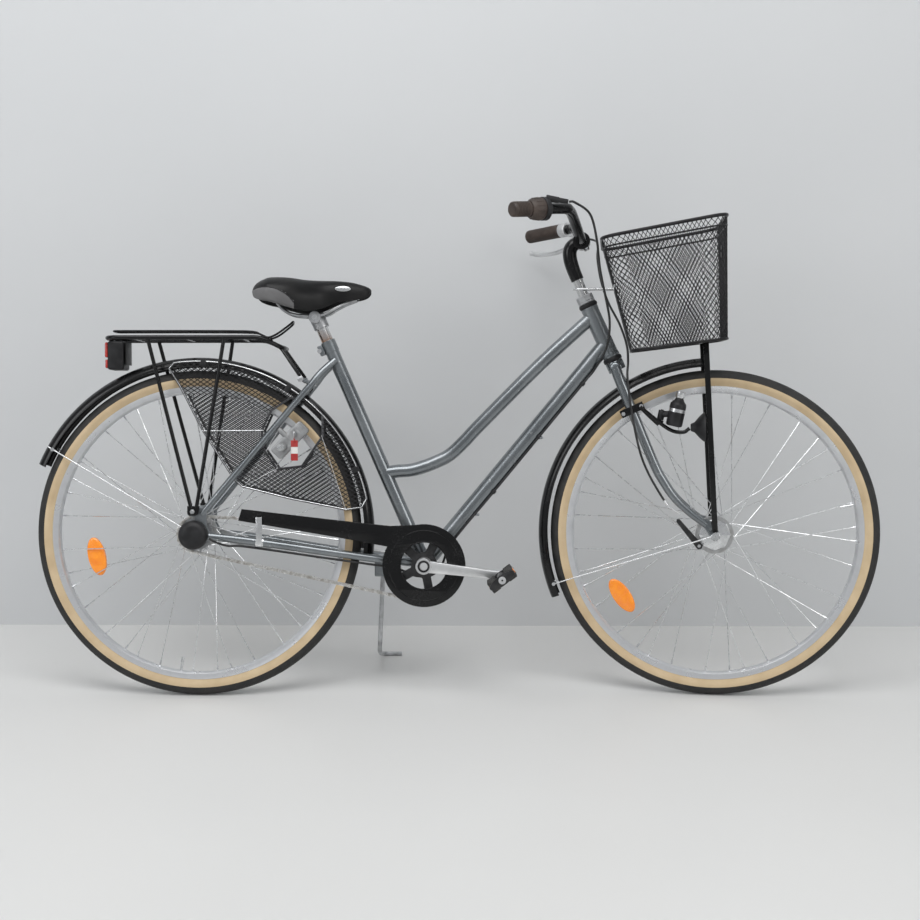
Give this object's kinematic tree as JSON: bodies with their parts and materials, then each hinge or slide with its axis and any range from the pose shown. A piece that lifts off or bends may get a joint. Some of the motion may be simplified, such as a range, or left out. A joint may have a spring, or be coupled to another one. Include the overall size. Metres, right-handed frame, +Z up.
{
  "type": "city bicycle",
  "caption": "Step-through city bicycle leaning on its kickstand, with basket, rear carrier, mudguards, chain guard, skirt nets, hub brakes, dynamo lights and a frame lock.",
  "frame": {"origin": "centre of the rear tyre's contact with the ground", "axes": "+X towards the front wheel, +Y to the rider's left, +Z up; the bicycle leans 9 degrees to +Y on its stand"},
  "size_m": [1.8108, 0.6276, 1.063],
  "materials": {
    "aluminium": "polished aluminium",
    "amber_reflector": "amber reflector",
    "black_enamel": "gloss black enamel",
    "black_plastic": "moulded black plastic",
    "bright_steel": "bright plated steel",
    "grip_rubber": "dark brown-black ribbed rubber",
    "saddle_vinyl": "black vinyl over foam",
    "silver_grey_paint": "metallic silver-grey paint",
    "tyre_rubber": "black tread with tan sidewalls",
    "zinc_steel": "zinc plated steel"
  },
  "bodies": {
    "frame": {"bottom_bracket": "zinc_steel", "chain": "zinc_steel", "chain_guard": "black_enamel", "frame": "silver_grey_paint", "gear_cable": "black_plastic", "headset": "black_plastic", "rack": "black_enamel", "rear_axle": "bright_steel", "rear_brake_arm": "zinc_steel", "rear_hub_cover": "black_plastic", "rear_lamp": "black_plastic", "rear_mudguard": "black_enamel", "skirt_guard_left": "black_plastic", "skirt_guard_right": "black_plastic", "wheel_lock": "zinc_steel"},
    "steering": {"basket_floor": "black_enamel", "basket_front": "black_enamel", "basket_left": "black_enamel", "basket_rear": "black_enamel", "basket_right": "black_enamel", "basket_support": "black_enamel", "brake_cable": "black_plastic", "brake_lever_bracket": "aluminium", "dynamo_bracket": "black_enamel", "fork": "silver_grey_paint", "front_axle": "bright_steel", "front_mudguard": "black_enamel", "gear_cable_loop": "black_plastic", "grip_left": "grip_rubber", "grip_right": "grip_rubber", "handlebar": "black_enamel", "headlamp": "black_plastic", "shifter_housing": "black_plastic", "stem": "black_enamel"},
    "front_wheel": {"front_hub_spokes": "bright_steel", "front_rim": "aluminium", "front_tyre": "tyre_rubber", "front_wheel_reflector": "amber_reflector"},
    "rear_wheel": {"rear_hub_spokes": "bright_steel", "rear_rim": "aluminium", "rear_tyre": "tyre_rubber", "rear_wheel_reflector": "amber_reflector"},
    "rack_clip": {"rack_clip": "black_enamel"},
    "lock_bolt": {"lock_bolt": "bright_steel"},
    "lock_key": {"lock_key": "bright_steel"},
    "kickstand": {"kickstand_leg": "zinc_steel"},
    "seat": {"saddle_cover": "saddle_vinyl", "saddle_frame": "zinc_steel", "seat_post": "bright_steel"},
    "crank": {"chainring": "black_plastic", "crank_left": "aluminium", "crank_right": "aluminium", "crank_spindle": "zinc_steel"},
    "sprocket": {"sprocket": "zinc_steel"},
    "pedal_right": {"pedal_right": "black_plastic"},
    "pedal_left": {"pedal_left": "black_plastic"},
    "front_brake_arm": {"front_brake_arm": "black_enamel"},
    "twist_grip": {"twist_grip": "grip_rubber"},
    "brake_lever": {"brake_lever": "aluminium"},
    "dynamo": {"dynamo": "black_plastic"}
  },
  "joints": [
    {"name": "steering_turn", "type": "hinge", "parent": "frame", "child": "steering", "pos_m": [0.88757, 0.11126, 0.72075], "axis": [-0.4159, 0.1423, 0.8982], "range_deg": [-45, 57], "deforming": ["gear_cable_loop"]},
    {"name": "front_wheel_spin", "type": "hinge", "parent": "steering", "child": "front_wheel", "pos_m": [1.10719, 0.04772, 0.34775], "axis": [0.0941, 0.9891, -0.1131], "continuous": true},
    {"name": "rear_wheel_spin", "type": "hinge", "parent": "frame", "child": "rear_wheel", "pos_m": [0, 0.05186, 0.34569], "axis": [0, 0.9877, -0.1564], "continuous": true},
    {"name": "crank_turn", "type": "hinge", "parent": "frame", "child": "crank", "pos_m": [0.48625, 0.04163, 0.28115], "axis": [0, 0.9877, -0.1564], "continuous": true, "deforming": ["chain"]},
    {"name": "sprocket_turn", "type": "hinge", "parent": "frame", "child": "sprocket", "pos_m": [0, 0.05186, 0.34569], "axis": [0, 0.9877, -0.1564], "continuous": true},
    {"name": "pedal_right_turn", "type": "hinge", "parent": "crank", "child": "pedal_right", "pos_m": [0.65005, 0.03852, 0.2615], "axis": [0, 0.9877, -0.1564], "continuous": true},
    {"name": "pedal_left_turn", "type": "hinge", "parent": "crank", "child": "pedal_left", "pos_m": [0.32245, 0.04475, 0.30079], "axis": [0, 0.9877, -0.1564], "continuous": true},
    {"name": "kickstand_fold", "type": "hinge", "parent": "frame", "child": "kickstand", "pos_m": [0.39228, 0.08953, 0.25116], "axis": [0, 0.9877, -0.1564], "range_deg": [0, 95]},
    {"name": "seat_height", "type": "slide", "parent": "frame", "child": "seat", "axis": [-0.4016, 0.1433, 0.9046], "range_m": [-0.028, 0.05]},
    {"name": "carrier_clip_lift", "type": "hinge", "parent": "frame", "child": "rack_clip", "pos_m": [0.14945, 0.11665, 0.75479], "axis": [0, 0.9877, -0.1564], "range_deg": [0, 42], "stiffness_Nm_per_rad": 0.5, "springref_deg": -20.05},
    {"name": "lock_bolt_slide", "type": "slide", "parent": "frame", "child": "lock_bolt", "axis": [0, 0.9877, -0.1564], "range_m": [0, 0.02]},
    {"name": "lock_key_turn", "type": "hinge", "parent": "frame", "child": "lock_key", "pos_m": [0.21185, 0.04311, 0.56214], "axis": [0, 0.9877, -0.1564], "range_deg": [-90, 0]},
    {"name": "twist_grip_turn", "type": "hinge", "parent": "steering", "child": "twist_grip", "pos_m": [0.70036, -0.10204, 1.03491], "axis": [0.8165, 0.5773, 0.0094], "range_deg": [-35, 35]},
    {"name": "brake_lever_pull", "type": "hinge", "parent": "steering", "child": "brake_lever", "pos_m": [0.81813, 0.3862, 0.96316], "axis": [0.1062, 0.2206, 0.9696], "range_deg": [0, 12], "stiffness_Nm_per_rad": 2, "springref_deg": -5.73},
    {"name": "front_brake_cam", "type": "hinge", "parent": "steering", "child": "front_brake_arm", "pos_m": [1.07021, 0.00396, 0.32949], "axis": [0.0941, 0.9891, -0.1131], "range_deg": [0, 8]},
    {"name": "dynamo_swing", "type": "hinge", "parent": "steering", "child": "dynamo", "pos_m": [0.98792, 0.03994, 0.60491], "axis": [0.2053, 0.0919, 0.9744], "range_deg": [0, 25]}
  ],
  "couplings": [
    {"joint": "sprocket_turn", "follows": "crank_turn", "ratio": 2},
    {"joint": "front_brake_cam", "follows": "brake_lever_pull", "ratio": 0.6}
  ]
}
